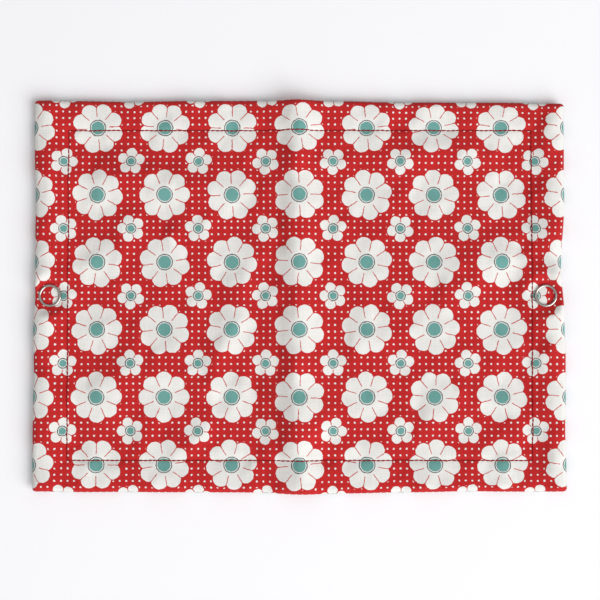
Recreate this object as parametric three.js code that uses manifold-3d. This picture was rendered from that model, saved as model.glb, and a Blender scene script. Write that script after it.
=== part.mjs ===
// Thread keeper: a padded cloth folder for skeins of embroidery thread, lying open with its
// outside up. A printed cotton cover is turned in all round as a hem and topstitched over
// fleece and lining, each half has a pocket panel inside, and a ring snap closes it.
// Millimetres. +X points right, +Y to the top edge and +Z up. The origin lies under the middle
// of the open folder, on the surface where its snap stands. It folds about a line along Y.
import * as THREE from 'three';
import { mergeVertices } from 'three/addons/utils/BufferGeometryUtils.js';
import Module from 'manifold-3d';

// The open folder and its fold
const openWidth = 254;
const openHeight = 188;
const foldX = -0.7; // the fold line, a little left of the middle
const foldSlit = 0.6; // between the halves, which are one cloth on the real folder
const closedGap = 0.6; // between the two hems when shut, where the pocket bands' seams lie
const ridgeHeight = 2.8; // how far the fold stands up when the folder lies open
const ridgeReach = 11; // how far the ridge runs out to each side of the fold

// Plies
const clothThickness = 0.4;
const plyGap = 0.1;
const fleeceLoft = 1.6;
const edgeRoom = 0.6; // between the turned edge of the cover and the plies inside it

// Topstitching, in from each edge, and the hem that it holds down
const stitchInsetBack = 15.4;
const stitchInsetFront = 16.1;
const stitchInsetTop = 13.9;
const stitchInsetBottom = 15.1;
const hemLap = 2.2; // hem past the stitching, and reach of the groove that it pulls
const grooveFloor = 0.4; // half the width of the groove's floor
const fleecePress = 1.25; // how far the stitching and the snaps squeeze the fleece
const underPress = 0.45; // how much of that the stitching takes from the inside
const threadWidth = 0.4;
const threadThickness = 0.25;
const threadGap = 0.1;

// Pocket panels
const pocketHeight = 100; // from the edge under the hem to the open edge
const pocketHem = 8; // turned band along the open edge
const pocketFromFold = 12; // the side edge nearest the fold
const pocketSeamInset = 1.5; // seam in from that side edge
const pocketSeamEnd = 0.8; // short of the hem at one end and of the open edge at the other
const channelCount = 4;

// Ring snap: its ring, with prongs that go through the plies and into the other part
const snapInset = 8; // middle of the back snap, in from its edge
const ringRadius = 5.5;
const ringInnerRadius = 4.15;
const ringHeight = 1;
const prongCount = 5;
const prongCircle = 4.6;
const prongThickness = 0.35;
const prongWidth = 1.5;
const prongTipShare = 0.35;
const prongRoom = 0.25; // between a prong and its hole in the plies
const prongSeat = 0.175; // between a prong and the groove that takes it
const prongTipGap = 0.25; // between a prong's point and the floor of that groove
const snapSheet = 0.3; // sheet that the socket and the stud are pressed from
const snapChamfer = 0.35;
const seatGap = 0.1; // between the snap's parts and the cloth
const padMargin = 0.2; // level cloth past the ring, towards the edges
const snapFlat = 9.1; // level cloth round the middle of a snap, as far as the stitching
const snapSqueeze = 12; // where the cloth has its full loft again
const snapSpread = 20; // where the cloth lies down again

// Socket, its spring, and the stud
const socketHeight = 2;
const socketDish = 0.4; // how far the socket's middle lies below its rim
const socketGroove = 0.9; // depth of the groove for the prongs
const postRadius = 1.85;
const postNeck = 0.25; // how much thinner the post is behind its head
const postLength = 1.7;
const postClearance = 0.2;
const flangeThickness = 1;
const flangeDish = 0.2;
const flangeGroove = 0.7;
const snapFaceGap = 0.3; // between the socket's face and the stud's flange when snapped
const springWire = 0.5;
const springGrip = 0.1; // between the wire and the head of the post
const springMiddle = 0.95; // height of the wire's middle above the socket's face
const springRoom = 0.15; // above and below the wire
const springPocketDepth = 0.95;
const springSlit = 30; // degrees left open in the wire ring

// How finely the round pieces are divided, and what serves every cut
const ringSteps = 24;
const snapSteps = 20;
const wireSteps = 16;
const wireSides = 6;
const domeSteps = 5;
const overrun = 2;
const finestStep = 0.05;

// The hinge line lies where the socket's face and the tip of the post both stand on the floor
// and the flange still meets the socket across its gap when the folder is shut.
const foldZ = (postLength - snapFaceGap) / 2;

// Heights of the plies where the folder lies flat, from the inside out
const hemUnder = foldZ + closedGap / 2;
const hemOver = hemUnder + clothThickness;
const pocketUnder = hemOver + plyGap;
const pocketOver = pocketUnder + clothThickness;
const liningUnder = pocketOver + plyGap;
const liningOver = liningUnder + clothThickness;
const fleeceUnder = liningOver + plyGap;
const fleeceOver = fleeceUnder + fleeceLoft;
const coverUnder = fleeceOver + plyGap;
const coverOver = coverUnder + clothThickness;

const edgeTop = openHeight / 2;
const edgeBottom = -openHeight / 2;
const stitchTop = edgeTop - stitchInsetTop;
const stitchBottom = edgeBottom + stitchInsetBottom;
const backSnapX = snapInset - openWidth / 2;
const snapReach = foldX - backSnapX;

const grooveOuter = prongCircle + prongThickness / 2 + prongSeat;
const grooveInner = prongCircle - prongThickness / 2 - prongSeat;
const snapRadius = grooveOuter + snapSheet;

// Each half by its side of the fold: -1 is the back, with the socket, and 1 the front, with
// the stud. seat is the height of the snap part's rim, which carries the hem.
const halves = [
  {
    name: 'back',
    side: -1,
    stitchInset: stitchInsetBack,
    seat: socketHeight,
    prongFloor: socketHeight - socketGroove,
  },
  {
    name: 'front',
    side: 1,
    stitchInset: stitchInsetFront,
    seat: postLength + flangeThickness,
    prongFloor: postLength + flangeThickness - flangeGroove,
  },
];
for (const half of halves) {
  half.edge = (half.side * openWidth) / 2;
  half.cut = foldX + (half.side * foldSlit) / 2;
  half.stitchX = half.edge - half.side * half.stitchInset;
  half.snapX = foldX + half.side * snapReach;
  half.lift = half.seat + seatGap - hemUnder;
}

const wasm = await Module();
wasm.setup();

function solidOf(geometry) {
  const bare = geometry.clone();
  bare.deleteAttribute('normal');
  bare.deleteAttribute('uv');
  const merged = mergeVertices(bare);
  return new wasm.Manifold(
    new wasm.Mesh({
      numProp: 3,
      vertProperties: new Float32Array(merged.getAttribute('position').array),
      triVerts: new Uint32Array(merged.getIndex().array),
    }),
  );
}

function geometryOf(solid) {
  const mesh = solid.getMesh();
  const geometry = new THREE.BufferGeometry();
  geometry.setAttribute('position', new THREE.BufferAttribute(mesh.vertProperties, 3));
  geometry.setIndex(new THREE.BufferAttribute(mesh.triVerts, 1));
  return geometry;
}

// Falls smoothly from 1 at near to 0 at far.
function fade(distance, near, far) {
  return 1 - THREE.MathUtils.smoothstep(distance, near, far);
}

function ridge(x) {
  return ridgeHeight * fade(Math.abs(x - foldX), 0, ridgeReach);
}

// 1 on the stitched line and 0 beyond the groove that the stitching pulls into the cloth
function groove(half, x, y) {
  const fromSide = half.side * (half.stitchX - x);
  const inside = Math.min(fromSide, stitchTop - y, y - stitchBottom);
  const past = (Math.abs(inside) - grooveFloor) / (hemLap - grooveFloor);
  return 1 - THREE.MathUtils.clamp(past, 0, 1);
}

function fromSnap(half, x, y) {
  return Math.hypot(x - half.snapX, y);
}

// How far the plies under the fleece are lifted from where they lie flat
function lower(half, x, y) {
  const distance = fromSnap(half, x, y);
  const free = 1 - fade(distance, snapFlat, snapSqueeze);
  const lifted = half.lift * fade(distance, snapFlat, snapSpread);
  return ridge(x) + lifted + underPress * free * groove(half, x, y);
}

// The same for the cover over the fleece, which the snap and the stitching squeeze
function upper(half, x, y) {
  const squeeze = fade(fromSnap(half, x, y), snapFlat, snapSqueeze);
  return lower(half, x, y) - fleecePress * Math.max(squeeze, groove(half, x, y));
}

// The marks strictly between two ends, with the ends, in rising order
function span(marks, end, otherEnd) {
  const low = Math.min(end, otherEnd);
  const high = Math.max(end, otherEnd);
  const inner = marks.filter((mark) => mark > low + finestStep && mark < high - finestStep);
  const sorted = [low, ...inner.sort((a, b) => a - b), high];
  return sorted.filter((mark, i) => i === 0 || mark - sorted[i - 1] > finestStep);
}

// The pocket panel's lower and outer edges lie under the hem, as far out as its groove. The
// band along its open edge stops short of the hem.
const pocketBottom = stitchBottom - hemLap;
const pocketTop = pocketBottom + pocketHeight;
const bandBottom = pocketTop - pocketHem;
const bandInset = hemLap + edgeRoom;

// Every ply bends along the same lines, so that the plies stay parallel.
const padMark = ringRadius + padMargin;
const snapMarks = [padMark, snapFlat, snapSqueeze, snapSpread];
const ridgeShares = [0.25, 0.5, 0.75, 1];
const innerInset = clothThickness + edgeRoom;

function marksAlongX(half) {
  const fromEdge = [clothThickness, innerInset];
  const fromStitch = [-hemLap, -grooveFloor, grooveFloor, hemLap, bandInset];
  return [
    ...fromEdge.map((inset) => half.edge - half.side * inset),
    ...fromStitch.map((offset) => half.stitchX - half.side * offset),
    half.snapX + half.side * padMark,
    ...[snapSqueeze, snapSpread].map((mark) => half.snapX - half.side * mark),
    ...ridgeShares.map((share) => foldX + half.side * share * ridgeReach),
    half.cut,
  ];
}

const marksAlongY = [
  edgeTop - clothThickness,
  edgeTop - innerInset,
  edgeBottom + clothThickness,
  edgeBottom + innerInset,
  ...[-hemLap, -grooveFloor, grooveFloor, hemLap].map((offset) => stitchTop - offset),
  ...[-hemLap, -grooveFloor, grooveFloor, hemLap].map((offset) => stitchBottom + offset),
  bandBottom,
  pocketTop,
  ...snapMarks,
  ...snapMarks.map((mark) => -mark),
];

// A sheet between two heights, each a function of x and y, with a vertex on every mark. Both
// of its faces are split along the same diagonals.
function sheet(xs, ys, under, over) {
  const columns = xs.length - 1;
  const rows = ys.length - 1;
  const box = new THREE.BoxGeometry(columns, rows, 1, columns, rows, 1);
  const index = box.getIndex();
  const bottom = box.groups.at(-1);
  for (let k = bottom.start; k < bottom.start + bottom.count; k += 6) {
    const corner = index.getX(k);
    const opposite = index.getX(k + 4);
    index.setX(k + 2, opposite);
    index.setX(k + 3, corner);
  }
  const position = box.getAttribute('position');
  for (let k = 0; k < position.count; k += 1) {
    const x = xs[Math.round(position.getX(k) + columns / 2)];
    const y = ys[Math.round(position.getY(k) + rows / 2)];
    const height = position.getZ(k) > 0 ? over : under;
    position.setXYZ(k, x, y, height(x, y));
  }
  return box;
}

function ply(half, { fromX, toX, fromY, toY, under, over, roof = lower }) {
  return sheet(
    span(marksAlongX(half), fromX, toX),
    span(marksAlongY, fromY, toY),
    (x, y) => under + lower(half, x, y),
    (x, y) => over + roof(half, x, y),
  );
}

// The slots that the prongs of a half's ring need in its plies
function cutForProngs(half, solid) {
  const width = prongWidth + 2 * prongRoom;
  const thickness = prongThickness + 2 * prongRoom;
  const height = coverOver + half.lift + 2 * overrun;
  let cut = solid;
  for (let k = 0; k < prongCount; k += 1) {
    const slot = new THREE.BoxGeometry(thickness, width, height);
    slot.translate(prongCircle, 0, height / 2);
    slot.rotateZ((k * 2 * Math.PI) / prongCount);
    slot.translate(half.snapX, 0, 0);
    cut = cut.subtract(solidOf(slot));
  }
  return cut;
}

// The outer panel with its edges turned in: a slab, less the room for the inner plies, less
// the opening inside the hem. Both cuts run out at the fold.
function coverGeometry(half) {
  const slab = ply(half, {
    fromX: half.edge,
    toX: half.cut,
    fromY: edgeBottom,
    toY: edgeTop,
    under: hemUnder,
    over: coverOver,
    roof: upper,
  });
  const room = ply(half, {
    fromX: half.edge - half.side * clothThickness,
    toX: foldX,
    fromY: edgeBottom + clothThickness,
    toY: edgeTop - clothThickness,
    under: hemOver,
    over: coverUnder,
    roof: upper,
  });
  const opening = ply(half, {
    fromX: half.stitchX - half.side * hemLap,
    toX: foldX,
    fromY: stitchBottom + hemLap,
    toY: stitchTop - hemLap,
    under: hemUnder - overrun,
    over: pocketUnder,
  });
  const cover = solidOf(slab).subtract(solidOf(room)).subtract(solidOf(opening));
  return geometryOf(cutForProngs(half, cover));
}

function innerPlyGeometry(half, under, over, roof) {
  const whole = ply(half, {
    fromX: half.edge - half.side * innerInset,
    toX: half.cut,
    fromY: edgeBottom + innerInset,
    toY: edgeTop - innerInset,
    under,
    over,
    roof,
  });
  return geometryOf(cutForProngs(half, solidOf(whole)));
}

function pocketGeometry(half) {
  const sides = { fromX: half.stitchX + half.side * hemLap, toX: foldX + half.side * pocketFromFold };
  const panel = ply(half, {
    ...sides,
    fromY: pocketBottom,
    toY: pocketTop,
    under: pocketUnder,
    over: pocketOver,
  });
  const band = ply(half, {
    ...sides,
    fromX: half.stitchX - half.side * bandInset,
    fromY: bandBottom,
    toY: pocketTop,
    under: pocketUnder - clothThickness,
    over: pocketOver,
  });
  return geometryOf(solidOf(panel).add(solidOf(band)));
}

// The seams run up between the channels, and the last one closes the side near the fold.
function pocketSeamGeometry(half, number) {
  const hemEdge = half.stitchX - half.side * hemLap;
  const lastSeam = foldX + half.side * (pocketFromFold + pocketSeamInset);
  const x = THREE.MathUtils.lerp(hemEdge, lastSeam, number / channelCount);
  const low = stitchBottom + hemLap + pocketSeamEnd;
  const face = pocketUnder - threadGap;
  const bandFace = face - clothThickness;
  const step = bandBottom - plyGap;
  const line = [low, step - threadThickness, step, pocketTop - pocketSeamEnd];
  const level = (y) => lower(half, x, y) + (y > line[1] ? bandFace : face);
  return sheet(
    [x - threadWidth / 2, x + threadWidth / 2],
    line,
    (_, y) => level(y) - threadThickness,
    (_, y) => level(y),
  );
}

// One line of thread round the three stitched sides of a half, over or under its plies
function stitchingGeometry(half, under, height) {
  const w = threadWidth / 2;
  const over = under + threadThickness;
  const outer = half.stitchX + half.side * w;
  const strip = (fromX, toX, fromY, toY) =>
    solidOf(
      sheet(
        span(marksAlongX(half), fromX, toX),
        span(marksAlongY, fromY, toY),
        (x, y) => under + height(half, x, y),
        (x, y) => over + height(half, x, y),
      ),
    );
  const side = strip(outer, outer - half.side * threadWidth, stitchBottom - w, stitchTop + w);
  const top = strip(outer, half.cut, stitchTop - w, stitchTop + w);
  const bottom = strip(outer, half.cut, stitchBottom - w, stitchBottom + w);
  return geometryOf(side.add(top).add(bottom));
}

// Turns an outline of radius and height pairs about the middle of a half's snap.
function turned(half, outline, steps) {
  const points = outline.map(([radius, height]) => new THREE.Vector2(radius, height));
  const geometry = new THREE.LatheGeometry(points, steps);
  geometry.rotateX(Math.PI / 2);
  geometry.translate(half.snapX, 0, 0);
  return geometry;
}

// An open ring with a domed face, and the prongs that stand down from it
function snapRingGeometry(half) {
  const base = coverOver + half.lift - fleecePress + seatGap;
  const middle = (ringRadius + ringInnerRadius) / 2;
  const band = (ringRadius - ringInnerRadius) / 2;
  const dome = [];
  for (let k = 0; k <= domeSteps; k += 1) {
    const angle = (k * Math.PI) / domeSteps;
    const rise = ringHeight / 2 + (ringHeight / 2) * Math.sin(angle);
    dome.push([middle + band * Math.cos(angle), base + rise]);
  }
  const outline = [[ringInnerRadius, base], [ringRadius, base], ...dome, [ringInnerRadius, base]];
  let ring = solidOf(turned(half, outline, ringSteps));

  const tip = half.prongFloor + prongTipGap;
  const root = base + ringHeight / 2;
  const point = (prongWidth * prongTipShare) / 2;
  const blade = new THREE.Shape([
    new THREE.Vector2(-prongWidth / 2, root),
    new THREE.Vector2(-point, tip),
    new THREE.Vector2(point, tip),
    new THREE.Vector2(prongWidth / 2, root),
  ]);
  for (let k = 0; k < prongCount; k += 1) {
    const prong = new THREE.ExtrudeGeometry(blade, { depth: prongThickness, bevelEnabled: false });
    prong.translate(0, 0, prongCircle - prongThickness / 2);
    prong.rotateX(Math.PI / 2);
    prong.rotateZ(Math.PI / 2 + (k * 2 * Math.PI) / prongCount);
    prong.translate(half.snapX, 0, 0);
    ring = ring.add(solidOf(prong));
  }
  return geometryOf(ring);
}

// Both snap parts have a groove under their rim, where the prongs are clinched.
function prongGroove(rim, floor, dish) {
  return [
    [snapRadius, rim],
    [grooveOuter, rim],
    [grooveOuter, floor],
    [grooveInner, floor],
    [grooveInner, rim - dish],
  ];
}

function socketGeometry(half) {
  const bore = postRadius + postClearance;
  const pocket = bore + springPocketDepth;
  const shelf = springMiddle + springWire / 2 + springRoom;
  const lip = springMiddle - springWire / 2 - springRoom;
  const outline = [
    [bore + snapChamfer, 0],
    [snapRadius - snapChamfer, 0],
    [snapRadius, snapChamfer],
    ...prongGroove(socketHeight, half.prongFloor, socketDish),
    [bore, socketHeight - socketDish],
    [bore, shelf],
    [pocket, shelf],
    [pocket, lip],
    [bore, lip],
    [bore, snapChamfer],
    [bore + snapChamfer, 0],
  ];
  return turned(half, outline, snapSteps);
}

// A ring of spring wire, open on one side, that stands a little way into the socket's bore
function springGeometry(half) {
  const radius = postRadius + springGrip + springWire / 2;
  const slit = THREE.MathUtils.degToRad(springSlit);
  const arc = new THREE.EllipseCurve(0, 0, radius, radius, slit / 2, 2 * Math.PI - slit / 2);
  const route = new THREE.CatmullRomCurve3(
    arc.getPoints(wireSteps).map((p) => new THREE.Vector3(p.x, p.y, 0)),
  );
  const section = new THREE.Shape(
    new THREE.EllipseCurve(0, 0, springWire / 2, springWire / 2).getPoints(wireSides).slice(1),
  );
  const wire = new THREE.ExtrudeGeometry(section, { steps: wireSteps, extrudePath: route });
  wire.translate(half.snapX, 0, springMiddle);
  return wire;
}

// A flange with a hollow post that has a round head
function studGeometry(half) {
  const neck = postRadius - postNeck;
  const rim = postLength + flangeThickness;
  const hollow = neck - snapSheet;
  const outline = [
    [0, 0],
    [postRadius - snapChamfer, 0],
    [postRadius, snapChamfer],
    [postRadius, snapChamfer + postNeck],
    [neck, snapChamfer + 2 * postNeck],
    [neck, postLength],
    [snapRadius - snapChamfer, postLength],
    [snapRadius, postLength + snapChamfer],
    ...prongGroove(rim, half.prongFloor, flangeDish),
    [hollow, rim - flangeDish],
    [hollow, snapSheet],
    [0, snapSheet],
  ];
  return turned(half, outline, snapSteps);
}

const finish = {
  printedCotton: { color: '#bd3a37', roughness: 0.85, metalness: 0 },
  fleece: { color: '#efece4', roughness: 0.95, metalness: 0 },
  plainCotton: { color: '#e6dfd6', roughness: 0.85, metalness: 0 },
  pocketCotton: { color: '#6f9f99', roughness: 0.85, metalness: 0 },
  redThread: { color: '#7c2224', roughness: 0.6, metalness: 0 },
  paleThread: { color: '#e9e4dc', roughness: 0.6, metalness: 0 },
  nickelledSteel: { color: '#c3c0bc', roughness: 0.28, metalness: 1 },
  springSteel: { color: '#9b9a98', roughness: 0.35, metalness: 1 },
};

function named(name, geometry, look) {
  const mesh = new THREE.Mesh(geometry, new THREE.MeshStandardMaterial(finish[look]));
  mesh.name = name;
  return mesh;
}

function halfGroup(half) {
  const group = new THREE.Group();
  const { name } = half;
  const fleece = innerPlyGeometry(half, fleeceUnder, fleeceOver, upper);
  const lining = innerPlyGeometry(half, liningUnder, liningOver, lower);
  const topstitching = stitchingGeometry(half, coverOver + threadGap, upper);
  const bobbinThread = stitchingGeometry(half, hemUnder - threadGap - threadThickness, lower);
  group.add(
    named(`${name}_cover`, coverGeometry(half), 'printedCotton'),
    named(`${name}_fleece`, fleece, 'fleece'),
    named(`${name}_lining`, lining, 'plainCotton'),
    named(`${name}_pocket`, pocketGeometry(half), 'pocketCotton'),
    named(`${name}_topstitching`, topstitching, 'redThread'),
    named(`${name}_bobbin_thread`, bobbinThread, 'redThread'),
    named(`${name}_snap_ring`, snapRingGeometry(half), 'nickelledSteel'),
  );
  for (let number = 1; number <= channelCount; number += 1) {
    const seam = pocketSeamGeometry(half, number);
    group.add(named(`${name}_pocket_seam_${number}`, seam, 'paleThread'));
  }
  return group;
}

const [back, front] = halves;
const backGroup = halfGroup(back);
backGroup.add(
  named('snap_socket', socketGeometry(back), 'nickelledSteel'),
  named('snap_spring', springGeometry(back), 'springSteel'),
);
const frontGroup = halfGroup(front);
frontGroup.add(named('snap_stud', studGeometry(front), 'nickelledSteel'));

const threadKeeper = new THREE.Group();
threadKeeper.add(backGroup, frontGroup);

export default threadKeeper;
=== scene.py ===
# Thread keeper: a padded cloth folder for skeins of embroidery thread, lying open with its
# outside up. The sections follow how it is sewn, from the lining outwards to the snaps.
# Lengths are in millimetres, and become metres as each mesh is finished. +X points right,
# +Y to the top edge and +Z up, and the folder folds about a line along Y.
import math

import bmesh
import bpy
import numpy as np
from mathutils import Matrix, Vector


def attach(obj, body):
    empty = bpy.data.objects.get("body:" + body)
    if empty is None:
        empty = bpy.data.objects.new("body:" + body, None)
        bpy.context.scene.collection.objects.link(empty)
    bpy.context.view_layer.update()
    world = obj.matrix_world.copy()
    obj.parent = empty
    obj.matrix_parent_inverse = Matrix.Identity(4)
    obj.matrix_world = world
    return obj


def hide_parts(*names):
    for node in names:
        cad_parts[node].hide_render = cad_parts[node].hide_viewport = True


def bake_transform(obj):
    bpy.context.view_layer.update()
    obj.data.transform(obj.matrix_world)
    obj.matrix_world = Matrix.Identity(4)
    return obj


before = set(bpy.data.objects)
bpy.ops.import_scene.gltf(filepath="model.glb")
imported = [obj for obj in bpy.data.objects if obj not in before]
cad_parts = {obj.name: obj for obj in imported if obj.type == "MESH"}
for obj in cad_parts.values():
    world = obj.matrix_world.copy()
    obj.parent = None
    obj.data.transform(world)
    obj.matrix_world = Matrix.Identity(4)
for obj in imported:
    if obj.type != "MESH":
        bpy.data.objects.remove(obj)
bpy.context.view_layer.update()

# The lining is one piece of plain cream cotton over both halves. It lies between the fleece
# and the turned-in hem, and the topstitching round the folder holds all of them together.
MM = 0.001
open_width = 254
open_height = 188
fold_x = -0.7  # the line that the folder folds about
crest_x = -1.7  # where the cloth stands highest over it
crest_sway = 0.6  # how far the crest strays from its line
crest_unevenness = 0.1  # share by which its height varies along the fold
crest_aside = 2.8  # how far it turns to the right at the lower edge
aside_reach = 17  # how far up from that edge it starts to turn
end_flatness = 0.45  # share of its steep top that it loses there
ridge_steep = 2.5  # height of its steep top, and of the gentle rise under it
ridge_gentle = 2.3
steep_left, steep_right = 9.5, 12
gentle_left, gentle_right = 21, 19
stitch_insets = {"left": 16.5, "right": 15.9, "bottom": 15.6, "top": 14.7}
stitch_left = -open_width / 2 + stitch_insets["left"]
stitch_right = open_width / 2 - stitch_insets["right"]
stitch_bottom = -open_height / 2 + stitch_insets["bottom"]
stitch_top = open_height / 2 - stitch_insets["top"]
hem_lap = 2.2  # hem past the stitching
snap_left = -119
snap_right = 117.6
lift_left = 1.1  # how far the snap's lower part holds the hem up
lift_right = 1.8
snap_flat = 9.1  # level cloth round a snap
snap_margin = 3  # past it, where the stitching pulls with all its force again
snap_spread = 20  # where the cloth lies down again
under_press = 0.45  # how far the stitching lifts the inside
under_reach = 1.3  # and how far to each side of it
lining_under = 2
lining_thickness = 0.35
lining_inset = 1.6
wave_reach = 13  # how far in from an edge its waviness dies out
drawn_in = 0.8  # how far the stitching has drawn the top and bottom edges in
edge_slants = {"top": 0.0053, "bottom": 0.0014}  # and how much more per millimetre to the right
cream_cloth = (230, 223, 214)

# Each edge's slow wave: depth, length and seed
edge_waves = {
    "left": (0.3, 13, 1.7),
    "right": (0.3, 11, 4.1),
    "top": (0.25, 19, 2.9),
    "bottom": (0.25, 15, 0.6),
}

# Where an edge bows: middle and reach along it, and how far out, or below 0 in
edge_bows = {
    "left": [(35, 30, -0.6), (0, 12, -0.8)],
    "right": [(14, 24, -1.6)],
    "top": [(8, 55, 0.6)],
    "bottom": [(8, 55, 1)],
}


def fade(distance, near, far):
    """Falls smoothly from 1 at near to 0 at far"""
    share = np.clip((distance - near) / (far - near), 0, 1)
    return 1 - share * share * (3 - 2 * share)


def wander(along, length, seed):
    """A slow uneven wave between about -1 and 1"""
    turn = along / length
    second = 0.6 * np.sin(1.73 * turn + 2.1 * seed)
    third = 0.35 * np.sin(2.9 * turn + 3.7 * seed)
    return (np.sin(turn + seed) + second + third) / 1.6


def near_snap(x, y):
    """Distance to the snap of that half, and how far it lifts the hem"""
    on_left = x < fold_x
    middle = np.where(on_left, snap_left, snap_right)
    return np.hypot(x - middle, y), np.where(on_left, lift_left, lift_right)


def beside_stitching(x, y):
    """How far a point lies inside the stitching of the sides, and of the ends"""
    from_sides = np.minimum(x - stitch_left, stitch_right - x)
    return from_sides, np.minimum(stitch_top - y, y - stitch_bottom)


def past_stitching(x, y):
    """How far a point lies inside the stitched line, or below 0 in the hem"""
    return np.minimum(*beside_stitching(x, y))


def carried(x, y):
    """How far the fold and the snaps lift all the plies"""
    by_end = np.exp(-(((y + open_height / 2) / aside_reach) ** 2))
    off = x - crest_x - crest_sway * wander(y, 12, 0.9) - crest_aside * by_end
    ridge = ridge_steep * fade(abs(off), 0, np.where(off < 0, steep_left, steep_right))
    ridge = ridge * (1 - end_flatness * by_end)
    ridge = ridge + ridge_gentle * fade(abs(off), 0, np.where(off < 0, gentle_left, gentle_right))
    ridge = ridge * (1 + crest_unevenness * wander(y, 9, 3.3))
    distance, lift = near_snap(x, y)
    return ridge + lift * fade(distance, snap_flat, snap_spread)


def inside_rise(x, y):
    """How far the plies inside the fleece lie over their flat height"""
    free = 1 - fade(near_snap(x, y)[0], snap_flat, snap_flat + snap_margin)
    pull = np.exp(-((past_stitching(x, y) / under_reach) ** 2))
    return carried(x, y) + under_press * free * pull


def edge_out(edge, along):
    """How far an edge strays outwards, or below 0 inwards, at places along it"""
    depth, length, seed = edge_waves[edge]
    out = depth * wander(along, length, seed)
    for middle, reach, bow in edge_bows[edge]:
        out = out + bow * np.exp(-(((along - middle) / reach) ** 2))
    if edge in edge_slants:
        out = out - drawn_in - edge_slants[edge] * along
    return out


def pulled(x, y):
    """The plan with the slight waves of hand-turned edges"""
    from_side = fade(open_width / 2 - abs(x), 0, wave_reach)
    from_end = fade(open_height / 2 - abs(y), 0, wave_reach)
    out_x = np.where(x < 0, -edge_out("left", y), edge_out("right", y)) * from_side
    out_y = np.where(y < 0, -edge_out("bottom", x), edge_out("top", x)) * from_end
    return x + out_x, y + out_y


def marks(low, high, fine, step):
    """Places from low to high, close together by those in fine and step apart elsewhere"""
    near = [0, 0.5, 1.1, 2, 3.2]
    places = {low, high}
    for middle in fine:
        places.update(middle + sign * offset for offset in near for sign in (-1, 1))
    ordered = sorted(place for place in places if low <= place <= high)
    full = []
    for start, end in zip(ordered, ordered[1:]):
        count = max(1, round((end - start) / step))
        full += [start + (end - start) * k / count for k in range(count)]
    return full + [high]


def flat_cloth(x_marks, y_marks):
    """A flat cloth with a vertex on every pair of marks, and its map in metres"""
    bm = bmesh.new()
    cut = bm.loops.layers.uv.new("cloth")
    columns, rows = len(x_marks) - 1, len(y_marks) - 1
    bmesh.ops.create_grid(bm, x_segments=columns, y_segments=rows, size=1)
    for vert in bm.verts:
        column = round((vert.co.x + 1) / 2 * columns)
        row = round((vert.co.y + 1) / 2 * rows)
        vert.co = (x_marks[column], y_marks[row], 0)
    for face in bm.faces:
        for loop in face.loops:
            loop[cut].uv = loop.vert.co.xy * MM
    return bm, cut


def made_piece(bm, name, material, shape=None):
    """The finished mesh in metres, after shape has moved its points, as a piece"""
    mesh = bpy.data.meshes.new(name)
    bm.normal_update()
    bm.to_mesh(mesh)
    bm.free()
    points = np.empty(3 * len(mesh.vertices), np.float32)
    mesh.vertices.foreach_get("co", points)
    points = points.reshape(-1, 3).astype(float)
    if shape:
        points = shape(points, mesh)
    mesh.vertices.foreach_set("co", (points * MM).astype(np.float32).ravel())
    mesh.polygons.foreach_set("use_smooth", [True] * len(mesh.polygons))
    mesh.materials.append(material)
    mesh.update()
    piece = bpy.data.objects.new(name, mesh)
    bpy.context.scene.collection.objects.link(piece)
    return piece


def thicken(piece, thickness):
    """Gives a cloth its thickness, on its inner side"""
    solid = piece.modifiers.new("thickness", "SOLIDIFY")
    solid.thickness = thickness * MM
    solid.offset = -1


def bends(piece):
    """Bakes the piece's transform into its mesh"""
    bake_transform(piece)


def linear(colour, share=1):
    """The linear colour of an sRGB one, with its brightness times share"""
    return [*(((part / 255 + 0.055) / 1.055) ** 2.4 * share for part in colour), 1]


def new_material(name):
    """A new material, its node tree and its shader"""
    material = bpy.data.materials.new(name)
    material.use_nodes = True
    return material, material.node_tree, material.node_tree.nodes["Principled BSDF"]


def feed(tree, node, inputs):
    """Sets a node's inputs, or links them to outputs"""
    for key, value in inputs.items():
        if isinstance(value, bpy.types.NodeSocket):
            tree.links.new(value, node.inputs[key])
        else:
            node.inputs[key].default_value = value


def wire(tree, kind, inputs, out=0, **settings):
    """Adds a node, feeds it, and returns one of its outputs"""
    made = tree.nodes.new("ShaderNode" + kind)
    for key, value in settings.items():
        setattr(made, key, value)
    feed(tree, made, inputs)
    return made.outputs[out]


def reckon(tree, operation, *terms):
    return wire(tree, "Math", dict(enumerate(terms)), operation=operation)


def vector(tree, operation, first, second, out=0):
    """As reckon, for vectors. SCALE takes a number as second"""
    key = "Scale" if operation == "SCALE" else 1
    return wire(tree, "VectorMath", {0: first, key: second}, out, operation=operation)


def tinted(tree, share, under, over, way="MIX"):
    """Colour over laid on colour under where share says"""
    inputs = {0: share, 6: under, 7: over}
    return wire(tree, "Mix", inputs, 2, data_type="RGBA", blend_type=way)


def effect(name, inputs, outputs):
    """An empty node group with those sockets, and both its ends"""
    tree = bpy.data.node_groups.new(name, "ShaderNodeTree")
    for label, kind in inputs:
        tree.interface.new_socket(label, in_out="INPUT", socket_type="NodeSocket" + kind)
    for label in outputs:
        tree.interface.new_socket(label, in_out="OUTPUT", socket_type="NodeSocketFloat")
    given = tree.nodes.new("NodeGroupInput").outputs
    result = tree.nodes.new("NodeGroupOutput").inputs
    return tree, given, result


def placed(tree, group, inputs):
    """Places an effect in a material and returns its outputs"""
    made = tree.nodes.new("ShaderNodeGroup")
    made.node_tree = group
    feed(tree, made, inputs)
    return made.outputs


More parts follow.
